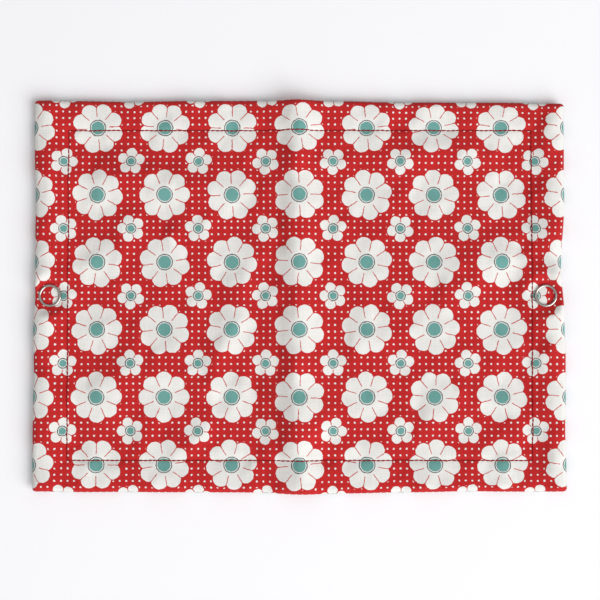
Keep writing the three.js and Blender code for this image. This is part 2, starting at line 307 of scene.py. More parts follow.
def plain_weave():
    """Over and under threads of a plain weave, with slubs, on the cloth's own map"""
    inputs = [("Cloth", "Vector"), ("Threads per metre", "Float")]
    tree, given, result = effect("plain weave", inputs, ["Height", "Tone"])
    counted = vector(tree, "SCALE", given["Cloth"], given["Threads per metre"])
    parts = tree.nodes.new("ShaderNodeSeparateXYZ")
    tree.links.new(counted, parts.inputs[0])
    crown, number = [], []
    for axis in (0, 1):
        phase = reckon(tree, "MULTIPLY", reckon(tree, "FRACT", parts.outputs[axis]), math.pi)
        crown.append(reckon(tree, "SINE", phase))
        number.append(reckon(tree, "FLOOR", parts.outputs[axis]))
    over = reckon(tree, "FLOORED_MODULO", reckon(tree, "ADD", *number), 2)
    heights = []
    for own, other in ((0, 1), (1, 0)):
        along = reckon(tree, "MULTIPLY_ADD", crown[other], 0.6, 0.4)
        heights.append(reckon(tree, "MULTIPLY", crown[own], along))
    difference = reckon(tree, "SUBTRACT", heights[1], heights[0])
    tree.links.new(reckon(tree, "MULTIPLY_ADD", over, difference, heights[0]), result["Height"])
    tones = []
    for stretch in ((0.9, 0.03, 1), (0.03, 0.9, 1)):
        drawn = vector(tree, "MULTIPLY", counted, stretch)
        tones.append(wire(tree, "TexNoise", {"Vector": drawn, "Scale": 1, "Detail": 1}))
    tree.links.new(reckon(tree, "MULTIPLY", reckon(tree, "ADD", *tones), 0.5), result["Tone"])
    return tree


weave = plain_weave()


def cotton(name, threads, bump, colour):
    """A woven cotton. colour makes its colour from the tree and the cloth's map"""
    material, tree, shader = new_material(name)
    cloth_map = wire(tree, "UVMap", {}, uv_map="cloth")
    woven = placed(tree, weave, {"Cloth": cloth_map, "Threads per metre": threads})
    tone = wire(tree, "MapRange", {0: woven["Tone"], 1: 0.3, 2: 0.7, 3: 0.93, 4: 1.05})
    # dips is painted shade: the colour darkens in the hollows between the weave's threads. tone is
    # their random slubs
    dips = wire(tree, "MapRange", {0: woven["Height"], 1: 0, 2: 0.8, 3: 0.9, 4: 1.03})
    shade = reckon(tree, "MULTIPLY", tone, dips)
    tone_and_painted_shade = wire(tree, "CombineColor", {0: shade, 1: shade, 2: shade})
    rough = wire(tree, "MapRange", {0: woven["Tone"], 1: 0.3, 2: 0.7, 3: 0.78, 4: 0.92})
    raised = wire(tree, "Bump", {"Strength": bump, "Distance": 0.00012, "Height": woven["Height"]})
    look = {
        "Base Color": tinted(tree, 1.0, colour(tree, cloth_map), tone_and_painted_shade, "MULTIPLY"),
        "Roughness": rough,
        "Specular IOR Level": 0.25,
        "Sheen Weight": 0.08,
        "Normal": raised,
    }
    feed(tree, shader, look)
    return material


def flecked(colour):
    """A plain dyed colour with soft large patches, as piece-dyed cotton has"""

    def made(tree, cloth_map):
        patches = wire(tree, "TexNoise", {"Vector": cloth_map, "Scale": 60, "Detail": 3})
        share = wire(tree, "MapRange", {0: patches, 1: 0.35, 2: 0.65, 3: 0, 4: 1})
        pale = [min(1, part * 1.06) for part in linear(colour)]
        return tinted(tree, share, linear(colour), pale)

    return made


lining_material = cotton("lining cotton", 2700, 0.5, flecked(cream_cloth))
lining_x = open_width / 2 - lining_inset
lining_y = open_height / 2 - lining_inset
lining_cloth, _ = flat_cloth(
    marks(-lining_x, lining_x, (stitch_left, stitch_right, crest_x), 2.2),
    marks(-lining_y, lining_y, (stitch_bottom, stitch_top), 2.2),
)


def lining_shape(points, mesh):
    x, y = points[:, 0], points[:, 1]
    height = lining_under + lining_thickness + inside_rise(x, y)
    return np.column_stack([*pulled(x, y), height])


lining = made_piece(lining_cloth, "lining", lining_material, lining_shape)
thicken(lining, lining_thickness)
bends(lining)
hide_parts("back_lining", "front_lining")

# Each half has a pocket panel of teal cotton inside, its lower and outer edges caught under
# the hem. Its open edge is turned under as a band, and four seams in cream thread part it
# into channels for skeins and close the side near the fold.
pocket_height = 100
pocket_hem = 8
pocket_from_fold = 12
pocket_under = 1.5
pocket_thickness = 0.35
pocket_middle = pocket_under + pocket_thickness / 2
band_drop = 0.4  # the band lies this far under the panel
band_clear = 2.8  # the band stops this far inside the stitching
pocket_bow = 0.25  # how far a channel hangs between its seams
band_turns = (0.6, 1.2, 1.9, 2.5)  # round the roll, in radians
band_shares = (0.05, 0.2, 0.45, 0.7, 0.97, 1)
bow_start = 6  # how far over the hem a channel starts to hang
seam_inset = 1.5
seam_end = 0.8  # the seams stop this far short of the hem and of the open edge
seam_pitch = 2.3
channel_count = 4
pocket_bottom = stitch_bottom - hem_lap
pocket_top = pocket_bottom + pocket_height
band_bottom = pocket_top - pocket_hem
teal_cloth = (111, 159, 153)
cream_thread = (233, 228, 220)
pocket_material = cotton("pocket cotton", 2600, 0.5, flecked(teal_cloth))


def twisted_thread():
    """The lay of a two-ply thread, as slanting stripes, and a tone with painted shade in its grooves
    """
    inputs = [("Place", "Vector"), ("Plies per metre", "Float")]
    tree, given, result = effect("twisted thread", inputs, ["Height", "Tone"])
    along = vector(tree, "DOT_PRODUCT", given["Place"], (1, 1, 0.6), 1)
    plies = reckon(tree, "MULTIPLY", along, given["Plies per metre"])
    turn = reckon(tree, "MULTIPLY", plies, 2 * math.pi)
    lay = reckon(tree, "MULTIPLY_ADD", reckon(tree, "SINE", turn), 0.5, 0.5)
    tree.links.new(lay, result["Height"])
    fuzz = wire(tree, "TexNoise", {"Vector": given["Place"], "Scale": 900, "Detail": 2})
    # Tone: painted shade in the grooves between the plies, mixed with random fuzz
    tone = reckon(tree, "MULTIPLY_ADD", lay, 0.5, reckon(tree, "MULTIPLY", fuzz, 0.5))
    tree.links.new(tone, result["Tone"])
    return tree


twist = twisted_thread()


def sewing_thread(name, colour):
    material, tree, shader = new_material(name)
    place = wire(tree, "TexCoord", {}, "Object")
    lay = placed(tree, twist, {"Place": place, "Plies per metre": 2200})
    # The colour falls to 0.7 in the ply grooves: painted shade, with random fuzz
    share = wire(tree, "MapRange", {0: lay["Tone"], 1: 0.2, 2: 0.7, 3: 0, 4: 1})
    look = {
        "Base Color": tinted(tree, share, linear(colour, 0.7), linear(colour)),
        "Roughness": wire(tree, "MapRange", {0: lay["Tone"], 1: 0, 2: 1, 3: 0.7, 4: 0.5}),
        "Specular IOR Level": 0.25,
        "Normal": wire(tree, "Bump", {"Strength": 0.6, "Distance": 0.0001, "Height": lay["Height"]}),
    }
    feed(tree, shader, look)
    return material


cream_stitching = sewing_thread("cream thread", cream_thread)
stitch_width = 0.76
stitch_rise = 0.4
stitch_gap = -0.1  # below 0, because each stitch starts where the last one dips in
stitch_lean = 3  # degrees that each stitch turns off the line
lean_change = 3  # and how much that changes from stitch to stitch
stitch_sways = ((0.06, 1.9, 1), (0.04, 0.37, 2))  # how far stitches stray, and in what rhythm


def lay_stitches(bm, start, end, pitch, height, seed):
    """A row of stitches on the cloth between two places in plan"""
    start, end = Vector(start), Vector(end)
    count = round((end - start).length / pitch)
    step = (end - start) / count
    half = step.normalized() * (step.length - stitch_gap) / 2
    for k in range(count):
        sway = sum(far * math.sin(turn * k + shift * seed) for far, turn, shift in stitch_sways)
        middle = start + step * (k + 0.5) + step.orthogonal().normalized() * sway
        lean = math.radians(stitch_lean + lean_change * math.sin(2.7 * k + seed))
        along = Matrix.Rotation(lean, 2) @ half
        ends = [middle - along, middle + along]
        low, high = (Vector((*place, float(height(*place)))) for place in ends)
        turn = (high - low).to_track_quat("Z", "Y").to_matrix().to_4x4()
        centre = Vector((*middle, float(height(*middle))))
        size = Matrix.Diagonal((stitch_width / 2, stitch_rise / 2, (high - low).length / 2, 1))
        matrix = Matrix.Translation(centre) @ turn @ size
        bmesh.ops.create_uvsphere(bm, u_segments=6, v_segments=5, radius=1, matrix=matrix)


def pocket_panel(side, name, body):
    """side is -1 for the back half and 1 for the front one"""
    stitched = stitch_left if side < 0 else stitch_right
    outer = stitched + side * hem_lap
    inner = fold_x + side * pocket_from_fold
    band_end = stitched - side * band_clear
    hem_edge = stitched - side * hem_lap
    last_seam = inner + side * seam_inset
    reach = last_seam - hem_edge
    seams = [hem_edge + reach * k / channel_count for k in range(channel_count + 1)]
    across = marks(min(outer, inner), max(outer, inner), (stitched, band_end, *seams[1:]), 2)
    bm, cut = flat_cloth(across, marks(pocket_bottom, pocket_top, (stitch_bottom, pocket_top), 3))
    drop = bm.verts.layers.float.new("drop")
    travel = bm.verts.layers.float.new("travel")
    for vert in bm.verts:
        vert[travel] = vert.co.y

    # The band: the open edge goes round a narrow roll and back down under the panel
    roll = band_drop / 2
    path = [(roll * math.sin(turn) - roll, roll * math.cos(turn) - roll) for turn in band_turns]
    path += [(-pocket_hem * share, -band_drop) for share in band_shares]
    edge = [e for e in bm.edges if all(abs(v.co.y - pocket_top) < 0.01 for v in e.verts)]
    edge = [e for e in edge if max(side * v.co.x for v in e.verts) <= side * band_end + 0.01]
    for step, before in zip(path, [(0, 0), *path]):
        made = bmesh.ops.extrude_edge_only(bm, edges=edge)["geom"]
        fresh = {part for part in made if isinstance(part, bmesh.types.BMVert)}
        edge = [part for part in made if isinstance(part, bmesh.types.BMEdge)]
        edge = [part for part in edge if fresh.issuperset(part.verts)]
        for vert in fresh:
            vert.co.y = pocket_top + step[0]
            vert[drop] = step[1]
            vert[travel] += math.dist(step, before)
    for face in bm.faces:
        for loop in face.loops:
            loop[cut].uv = (loop.vert.co.x * MM, loop.vert[travel] * MM)

    def shape(points, mesh):
        x, y = points[:, 0], points[:, 1]
        dropped = np.empty(len(points), np.float32)
        mesh.attributes["drop"].data.foreach_get("value", dropped)
        channel = (x - seams[0]) / (seams[-1] - seams[0]) * channel_count
        within = (channel > 0) & (channel < channel_count)
        bow = np.where(within, np.sin(np.pi * channel) ** 2, 0)
        bow = bow * pocket_bow * (1 - fade(y, pocket_bottom + bow_start, pocket_top))
        level = pocket_middle + pocket_thickness / 2
        return np.column_stack([x, y, level + dropped + inside_rise(x, y) - bow])

    panel = made_piece(bm, f"{name}_pocket_panel", pocket_material, shape)
    thicken(panel, pocket_thickness)
    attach(panel, body)
    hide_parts(f"{name}_pocket")

    def thread_height(x, y):
        on_band = y > band_bottom - 0.3
        return pocket_under - (band_drop if on_band else 0) + inside_rise(x, y)

    for number, x in enumerate(seams[1:], 1):
        bm = bmesh.new()
        low = stitch_bottom + hem_lap + seam_end
        lay_stitches(bm, (x, low), (x, pocket_top - seam_end), seam_pitch, thread_height, number)
        row = made_piece(bm, f"{name}_pocket_stitches_{number}", cream_stitching)
        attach(row, body)
        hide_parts(f"{name}_pocket_seam_{number}")


pocket_panel(-1, "back", "back_half")
pocket_panel(1, "front", "front_half")

# Fleece wadding fills the folder between the lining and the cover. It gives the cover its
# loft, stands a little prouder in the hem, and is squeezed by the stitching and the snaps.
flat_height = 4.6  # the cover's face over the table where nothing presses it
hem_under = 1
fleece_under = 2.5
fleece_inset = 2.4
cloth_and_gap = 0.5
stitch_pull = 0.45
pull_reach = 1.7
side_rise = 2.2  # how far the hems stand over the stitching, at the sides and at the ends
side_reach = 12
end_rise = 0.95
end_reach = 6
trough = 1  # how far the panel sinks beside the side hems
trough_middle = 8
snap_press = 1.25
ring_edge = 5.8
snap_squeeze = 11
ring_dome = 0.45  # how far the cloth swells up through the ring
ring_hole = 4
edge_roll = 3  # how far in from the edge the face starts to turn down
left_thinning = 0.8  # how far the side edges are pressed down
right_thinning = 0.6
thinning_reach = 8
crease_sway = 2.5  # how far a crease strays from its straight line
pucker_depth = 0.13  # of the puckers beside the stitching
pucker_reach = 4
ray_depth = 0.3  # of the puckers that run out from a snap
fleece_white = (239, 236, 228)

# Slow unevenness of the cover: depth, then slant, length and seed of both crossing waves
unevenness = [
    (0.65, (0.6, 7, 0.3), (-0.4, 9, 2.2)),
    (0.6, (0.3, 4.5, 1.1), (-0.5, 5.5, 3.9)),
    (0.33, (-0.3, 2.7, 4.2), (0.5, 3.3, 1.3)),
]

# Soft creases of the cover: middle, half length and half width, direction and height
creases = [
    (-34.5, -20, 37, 6, 70, 2),
    (-88, -42, 34, 13, 22, 2.4),
    (-73, 55, 45, 8, -5, 2.7),
    (-96, 20, 20, 8, 40, 1.8),
    (-105, -17, 20, 7, -3, 1.5),
    (-53, 33, 26, 5.5, 32, 1),
    (-50, -68, 14, 5.5, 60, 1.4),
    (-5, -58, 17, 14, 83, 1.5),
    (3, 27, 14, 4, 82, 0.6),
    (29, -22, 16, 6, 84, 1.6),
    (8, -60, 13, 7.5, 40, 1.9),
    (46, -18, 20, 5.5, 30, 1),
    (63, -58, 14, 7, 30, 1.4),
    (95, 20, 26, 11, 22, 2.6),
    (82, 3, 16, 8, 50, 1.2),
    (105, -22, 16, 6, 15, 1.2),
    (97, -50, 14, 4, 0, 0.5),
    (97, -66, 14, 7, 50, 1.5),
    (119, -29, 9, 5, 15, 1.1),
    (119, 46, 8, 5, 10, 1.1),
    (60, 68, 38, 7, 3, 1.9),
]


def creased(x, y):
    """Creases, puckers beside the stitching and round the snaps, and slow unevenness"""
    height = 0
    for depth, (slant, length, seed), (cross_slant, cross_length, cross_seed) in unevenness:
        wave = depth * wander(x + slant * y, length, seed)
        height = height + wave * wander(y + cross_slant * x, cross_length, cross_seed)
    bent_x = x + crease_sway * wander(y, 7, 0.5)
    bent_y = y + crease_sway * wander(x, 8, 1.9)
    for middle_x, middle_y, length, width, direction, crest in creases:
        turn = math.radians(direction)
        along = (bent_x - middle_x) * math.cos(turn) + (bent_y - middle_y) * math.sin(turn)
        across = (bent_y - middle_y) * math.cos(turn) - (bent_x - middle_x) * math.sin(turn)
        height = height + crest * np.exp(-((along / length) ** 2) - (across / width) ** 2)
    from_sides, from_ends = beside_stitching(x, y)
    puckers = pucker_depth * wander(np.where(from_sides < from_ends, y, x), 1.2, 0.8)
    height = height + puckers * np.exp(-abs(past_stitching(x, y)) / pucker_reach)
    distance, _ = near_snap(x, y)
    turn = np.arctan2(y, x - np.where(x < fold_x, snap_left, snap_right))
    rays = np.sin(7 * turn + 1.1) + 0.7 * np.sin(4 * turn + 2.6)
    ringed = fade(distance, 10, 22) * (1 - fade(distance, 6, 9))
    return height + ray_depth * rays * ringed


def cover_height(x, y):
    """The cover's face, before its edges turn down"""
    distance, _ = near_snap(x, y)
    across, lengthwise = beside_stitching(x, y)
    by_side = side_rise * (1 - fade(-across, 0, side_reach))
    by_end = end_rise * (1 - np.exp(np.minimum(lengthwise, 0) / end_reach))
    sewn = np.hypot(by_side, by_end) - stitch_pull * np.exp(-abs(past_stitching(x, y)) / pull_reach)
    inwards = np.maximum(across, 0) / trough_middle
    sewn = sewn - trough * inwards * np.exp(1 - inwards) * fade(-lengthwise, -8, 0)
    thinned = left_thinning * fade(x + open_width / 2, 0, thinning_reach)
    thinned = thinned + right_thinning * fade(open_width / 2 - x, 0, thinning_reach)
    pressed = fade(distance, ring_edge, snap_squeeze)
    free = (1 - pressed) * (sewn - thinned + creased(x, y))
    dome = ring_dome * np.clip(1 - (distance / ring_hole) ** 2, 0, 1)
    return flat_height + carried(x, y) + free - snap_press * pressed + dome


def hem_height(x, y):
    """The underside of the hem"""
    return hem_under + inside_rise(x, y)


def fleece_fibre():
    material, tree, shader = new_material("fleece")
    place = wire(tree, "TexCoord", {}, "Object")
    tangle = wire(tree, "TexNoise", {"Vector": place, "Scale": 2500, "Detail": 4, "Distortion": 2.0})
    share = wire(tree, "MapRange", {0: tangle, 1: 0.3, 2: 0.7, 3: 0, 4: 1})
    look = {
        "Base Color": tinted(tree, share, linear(fleece_white, 0.85), linear(fleece_white)),
        "Roughness": 0.95,
        "Normal": wire(tree, "Bump", {"Strength": 0.8, "Distance": 0.0003, "Height": tangle}),
    }
    feed(tree, shader, look)
    return material


fleece_x = open_width / 2 - fleece_inset
fleece_y = open_height / 2 - fleece_inset
wadding, _ = flat_cloth(
    marks(-fleece_x, fleece_x, (stitch_left, stitch_right, crest_x), 2.2),
    marks(-fleece_y, fleece_y, (stitch_bottom, stitch_top), 2.2),
)
bmesh.ops.solidify(wadding, geom=wadding.faces[:], thickness=1)
bmesh.ops.recalc_face_normals(wadding, faces=wadding.faces[:])


def fleece_shape(points, mesh):
    x, y, side = points.T
    inset = np.minimum(open_width / 2 - abs(x), open_height / 2 - abs(y))
    level = np.sqrt(1 - (1 - np.clip(inset / edge_roll, 0, 1)) ** 2)
    face, under = cover_height(x, y), hem_height(x, y)
    top = (face + under + (face - under) * level) / 2 - cloth_and_gap
    base = fleece_under + inside_rise(x, y)
    on_top = side > side.mean()
    return np.column_stack([*pulled(x, y), np.where(on_top, top, base)])


fleece = made_piece(wadding, "fleece", fleece_fibre(), fleece_shape)
bends(fleece)
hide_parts("back_fleece", "front_fleece")

# The cover is one piece of red quilting cotton with a printed pattern. Its edges turn down
# over the fleece and back under as a hem, with mitred corners, out to just past the stitching.
cover_thickness = 0.4
under_roll = 2.2  # how far the underside takes to turn
corner_round = 1.6
roll_steps = 8
fine_reach = 3.2  # the hem's rows lie closer together this near the stitching
hem_shares = (0.17, 0.34, 0.5, 0.66, 0.83, 1)
hem_offsets = (2, 1.1, 0.5, 0, -0.5, -1.1, -hem_lap)
flower_spacing = 32.2
flower_reach = 8.2
flower_petal = 3.9
flower_eye = 3.1
blossom_reach = 4
blossom_petal = 2.5
blossom_eye = 1.7
dot_spacing = 3.1
dot_radius = 0.46
print_red = (191, 31, 33)
print_cream = (232, 231, 227)
print_teal = (106, 160, 154)
print_grey = (74, 82, 84)


def round_flower():
    """A flower with round petals on a square repeat, each one turned by chance"""
    sizes = ["Spacing", "Petals", "Reach", "Petal", "Eye"]
    inputs = [("Cloth", "Vector"), *((label, "Float") for label in sizes)]
    tree, given, result = effect("round flower", inputs, ["Petals", "Eye", "Ring", "Clear"])
    spacing, petals, reach, petal, eye = (given[label] for label in sizes)

    def soft(value, start, end):
        return wire(tree, "MapRange", {0: value, 1: start, 2: end, 3: 0, 4: 1})

    share = reckon(tree, "DIVIDE", 1, spacing)
    counted = vector(tree, "SCALE", given["Cloth"], share)
    number = vector(tree, "ADD", counted, (0.5, 0.5, 0.5))
    number = vector(tree, "FLOOR", number, (0, 0, 0))
    place = vector(tree, "SCALE", vector(tree, "SUBTRACT", counted, number), spacing)
    parts = tree.nodes.new("ShaderNodeSeparateXYZ")
    tree.links.new(place, parts.inputs[0])
    distance = vector(tree, "LENGTH", place, (0, 0, 0), 1)
    chance = wire(tree, "TexWhiteNoise", {"Vector": number}, noise_dimensions="3D")
    angle = reckon(tree, "ARCTAN2", parts.outputs[1], parts.outputs[0])
    angle = reckon(tree, "MULTIPLY_ADD", chance, 2 * math.pi, angle)
    sector = reckon(tree, "DIVIDE", 2 * math.pi, petals)
    half = reckon(tree, "MULTIPLY", sector, 0.5)
    within = reckon(tree, "SUBTRACT", reckon(tree, "FLOORED_MODULO", angle, sector), half)
    folded = reckon(tree, "ABSOLUTE", within)
    along = reckon(tree, "MULTIPLY", distance, reckon(tree, "COSINE", folded))
    across = reckon(tree, "MULTIPLY", distance, reckon(tree, "SINE", folded))
    from_tip = reckon(tree, "POWER", reckon(tree, "SUBTRACT", along, reach), 2)
    from_tip = reckon(tree, "SQRT", reckon(tree, "ADD", from_tip, reckon(tree, "POWER", across, 2)))
    outside = reckon(tree, "SUBTRACT", from_tip, petal)
    outside = reckon(tree, "MINIMUM", outside, reckon(tree, "SUBTRACT", distance, reach))
    to_seam = reckon(tree, "SINE", reckon(tree, "SUBTRACT", half, folded))
    to_seam = reckon(tree, "MULTIPLY", distance, to_seam)
    open_seam = soft(to_seam, 0.1, 0.28)
    near_eye = reckon(tree, "SUBTRACT", distance, reckon(tree, "MULTIPLY", eye, 1.75))
    open_seam = reckon(tree, "MAXIMUM", open_seam, soft(near_eye, 0.2, -0.2))
    tree.links.new(reckon(tree, "MULTIPLY", soft(outside, 0.1, -0.1), open_seam), result["Petals"])
    past_eye = reckon(tree, "SUBTRACT", distance, eye)
    tree.links.new(soft(past_eye, 0.1, -0.1), result["Eye"])
    off_ring = reckon(tree, "ABSOLUTE", reckon(tree, "SUBTRACT", past_eye, 0.6))
    tree.links.new(soft(off_ring, 0.3, 0.16), result["Ring"])
    tree.links.new(soft(outside, 0.6, 0.8), result["Clear"])
    return tree


flower_print = round_flower()


def printed(tree, cloth_map):
    """Cream daisies and blossoms with teal eyes, and pin dots, on red"""
    cloth = vector(tree, "SCALE", cloth_map, 1 / MM)
    unsteady = wire(tree, "TexNoise", {"Vector": cloth, "Scale": 0.8, "Detail": 2}, 1)
    unsteady = vector(tree, "SUBTRACT", unsteady, (0.5, 0.5, 0.5))
    unsteady = vector(tree, "MULTIPLY", unsteady, (0.7, 0.7, 0))
    cloth = vector(tree, "ADD", cloth, unsteady)
    above = vector(tree, "ADD", cloth, (0, flower_spacing / 2, 0))
    aside = vector(tree, "ADD", cloth, (flower_spacing / 2, 0, 0))
    daisy = {"Petals": 8, "Reach": flower_reach, "Petal": flower_petal, "Eye": flower_eye}
    blossom = {"Petals": 5, "Reach": blossom_reach, "Petal": blossom_petal, "Eye": blossom_eye}
    flowers = [
        placed(tree, flower_print, {"Cloth": above, "Spacing": flower_spacing, **daisy}),
        placed(tree, flower_print, {"Cloth": aside, "Spacing": flower_spacing, **blossom}),
    ]
    dotted = vector(tree, "SCALE", cloth, 1 / dot_spacing)
    dotted = vector(tree, "FRACTION", dotted, (0, 0, 0))
    from_dot = vector(tree, "DISTANCE", dotted, (0.5, 0.5, 0), 1)
    edge = dot_radius / dot_spacing
    dots = wire(tree, "MapRange", {0: from_dot, 1: edge * 1.2, 2: edge * 0.8, 3: 0, 4: 1})
    colour = linear(print_red)
    for flower in flowers:
        dots = reckon(tree, "MULTIPLY", dots, flower["Clear"])
    cream = reckon(tree, "MAXIMUM", dots, flowers[0]["Petals"])
    cream = reckon(tree, "MAXIMUM", cream, flowers[1]["Petals"])
    colour = tinted(tree, cream, colour, linear(print_cream))
    for flower in flowers:
        colour = tinted(tree, flower["Ring"], colour, linear(print_grey))
        colour = tinted(tree, flower["Eye"], colour, linear(print_teal))
    return colour


print_material = cotton("printed cotton", 2850, 0.5, printed)
panel_x = open_width / 2 - edge_roll
panel_y = open_height / 2 - edge_roll
cover_cloth, cut = flat_cloth(
    marks(-panel_x, panel_x, (stitch_left, stitch_right, crest_x), 1.4),
    marks(-panel_y, panel_y, (stitch_bottom, stitch_top), 1.4),
)
sunk = cover_cloth.verts.layers.float.new("sunk")  # 0 on the face, 2 on the hem's underside

# Each turn of the hem: how far in it lies from each edge, and how far down
turns = []
for step in range(1, roll_steps + 1):
    angle = math.pi * step / roll_steps
    reach = edge_roll if angle < math.pi / 2 else under_roll
    turns.append(([reach * (1 - math.sin(angle))] * 4, 1 - math.cos(angle)))
insets = list(stitch_insets.values())
for share in hem_shares:
    hem_row = [under_roll + share * (inset - fine_reach - under_roll) for inset in insets]
    turns.append((hem_row, 2))
for offset in hem_offsets:
    turns.append(([inset - offset for inset in insets], 2))


def turn_hem(bm, turns):
    """Extrudes the cloth's rim turn by turn, and returns the cut's width and length"""
    half_height = (flat_height - hem_under) / 2
    old_insets, old_sunk, old_out = [edge_roll] * 4, 0, [0] * 4
    for new_insets, new_sunk in turns:
        drop = (new_sunk - old_sunk) * half_height
        steps = [math.hypot(new - old, drop) for new, old in zip(new_insets, old_insets)]
        new_out = [out + step for out, step in zip(old_out, steps)]
        frames = []
        for left, right, bottom, top in (old_insets, new_insets):
            width = (left - open_width / 2, open_width / 2 - right)
            frames.append((*width, bottom - open_height / 2, open_height / 2 - top))
        old, new = frames
        rim = [edge for edge in bm.edges if edge.is_boundary]
        made = bmesh.ops.extrude_edge_only(bm, edges=rim)["geom"]
        fresh = {part for part in made if isinstance(part, bmesh.types.BMVert)}
        for vert in fresh:
            vert.co.x = np.interp(vert.co.x, old[:2], new[:2])
            vert.co.y = np.interp(vert.co.y, old[2:], new[2:])
            vert[sunk] = new_sunk
        lines = [(one + other) / 2 for one, other in zip(old, new)]
        for face in (part for part in made if isinstance(part, bmesh.types.BMFace)):
            middle = face.calc_center_median()
            gaps = [abs(middle[k // 2] - line) for k, line in enumerate(lines)]
            side = gaps.index(min(gaps))
            for loop in face.loops:
                out = (new_out if loop.vert in fresh else old_out)[side]
                place = loop.vert.co.xy
                place[side // 2] = (-1, 1)[side % 2] * ((panel_x, panel_y)[side // 2] + out)
                loop[cut].uv = place * MM
        old_insets, old_sunk, old_out = new_insets, new_sunk, new_out
    left, right, bottom, top = old_out
    return 2 * panel_x + left + right, 2 * panel_y + bottom + top


cut_width, cut_length = turn_hem(cover_cloth, turns)


def soft_corners(x, y):
    """The plan with the folder's corners slightly rounded"""
    past_x = abs(x) - open_width / 2 + corner_round
    past_y = abs(y) - open_height / 2 + corner_round
    corner = (past_x > 0) & (past_y > 0)
    length = np.maximum(np.hypot(past_x, past_y), 1e-6)
    back = np.where(corner, 1 - np.maximum(past_x, past_y) / length, 0)
    return x - np.sign(x) * past_x * back, y - np.sign(y) * past_y * back


def cover_shape(points, mesh):
    x, y = points[:, 0], points[:, 1]
    down = np.empty(len(points), np.float32)
    mesh.attributes["sunk"].data.foreach_get("value", down)
    face, under = cover_height(x, y), hem_height(x, y)
    height = face - (face - under) * down / 2
    return np.column_stack([*pulled(*soft_corners(x, y)), height])


cover = made_piece(cover_cloth, "cover", print_material, cover_shape)
cut_map = np.empty(2 * len(cover.data.loops), np.float32)
cover.data.uv_layers["cloth"].data.foreach_get("uv", cut_map)
thicken(cover, cover_thickness)
bends(cover)
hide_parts("back_cover", "front_cover")

# One line of dark red topstitching runs round the folder and joins cover, fleece, lining and
# hem. Its needle thread lies on the cover, and its bobbin thread on the hem inside.
topstitch_pitch = 2.25
needle_lift = 0.1  # the needle thread's middle over the cover
bobbin_drop = 0.04  # the bobbin thread's middle under the hem
thread_red = (152, 4, 10)
red_stitching = sewing_thread("red thread", thread_red)
stitched_corners = [
    (stitch_left, stitch_bottom),
    (stitch_right, stitch_bottom),
    (stitch_right, stitch_top),
    (stitch_left, stitch_top),
]
for name, node, height in (
    ("topstitches", "topstitching", lambda x, y: cover_height(x, y) + needle_lift),
    ("bobbin_stitches", "bobbin_thread", lambda x, y: hem_height(x, y) - bobbin_drop),
):
    bm = bmesh.new()
    for side, start in enumerate(stitched_corners):
        end = stitched_corners[(side + 1) % 4]
        lay_stitches(bm, start, end, topstitch_pitch, height, side)
    stitches = made_piece(bm, name, red_stitching)
    bends(stitches)
    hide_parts(f"back_{node}", f"front_{node}")

# Each snap has an open ring of nickelled sheet steel on the cover. Its domed band is pressed
# to shape, and five prongs on it go through all plies into the part on the inside.
ring_radius = 5.5
ring_inner = 4.15
ring_height = 1
ring_foot = 0.3  # height of the band's widest part
ring_seat = 0.1  # between the ring and the cloth
prong_count = 5
prong_circle = 4.6
prong_size = (0.35, 1.5)
prong_tip_share = 0.35
nickel_colour = (192, 186, 180)


def metal_wear():
    """Fine handling scratches and dull patches of a small metal part"""
    tree, given, result = effect("metal wear", [("Place", "Vector")], ["Height", "Dull"])
    drawn = vector(tree, "MULTIPLY", given["Place"], (9000, 2500, 5000))
    fine = wire(tree, "TexNoise", {"Vector": drawn, "Scale": 1, "Detail": 3})
    tree.links.new(fine, result["Height"])
    patches = wire(tree, "TexNoise", {"Vector": given["Place"], "Scale": 420, "Detail": 4})
    dull = wire(tree, "MapRange", {0: patches, 1: 0.4, 2: 0.65, 3: 0, 4: 1})
    tree.links.new(dull, result["Dull"])
    return tree


wear = metal_wear()


def bright_metal(name, colour, smoothest, dullest):
    material, tree, shader = new_material(name)
    place = wire(tree, "TexCoord", {}, "Object")
    worn = placed(tree, wear, {"Place": place})
    scratches = {"Strength": 0.12, "Distance": 0.00002, "Height": worn["Height"]}
    look = {
        "Base Color": tinted(tree, worn["Dull"], linear(colour), linear(colour, 0.8)),
        "Roughness": wire(tree, "MapRange", {0: worn["Dull"], 1: 0, 2: 1, 3: smoothest, 4: dullest}),
        "Metallic": 1,
        "Normal": wire(tree, "Bump", scratches),
    }
    feed(tree, shader, look)
    return material


nickel = bright_metal("nickelled steel", nickel_colour, 0.16, 0.34)


def spin_round(bm, parts, steps, angle=2 * math.pi):
    """Spins parts about the middle of a snap and makes the shell whole"""
    whole = angle == 2 * math.pi
    about = {"cent": (0, 0, 0), "axis": (0, 0, 1), "angle": angle, "steps": steps}
    bmesh.ops.spin(bm, geom=parts, use_merge=whole, **about)
    bmesh.ops.remove_doubles(bm, verts=bm.verts[:], dist=0.001)
    bmesh.ops.recalc_face_normals(bm, faces=bm.faces[:])


def round_edges(part, radius, segments, angle):
    """Rounds the edges of a pressed part that are sharper than angle"""
    edge = part.modifiers.new("pressed edges", "BEVEL")
    edge.width, edge.segments, edge.angle_limit = radius * MM, segments, math.radians(angle)


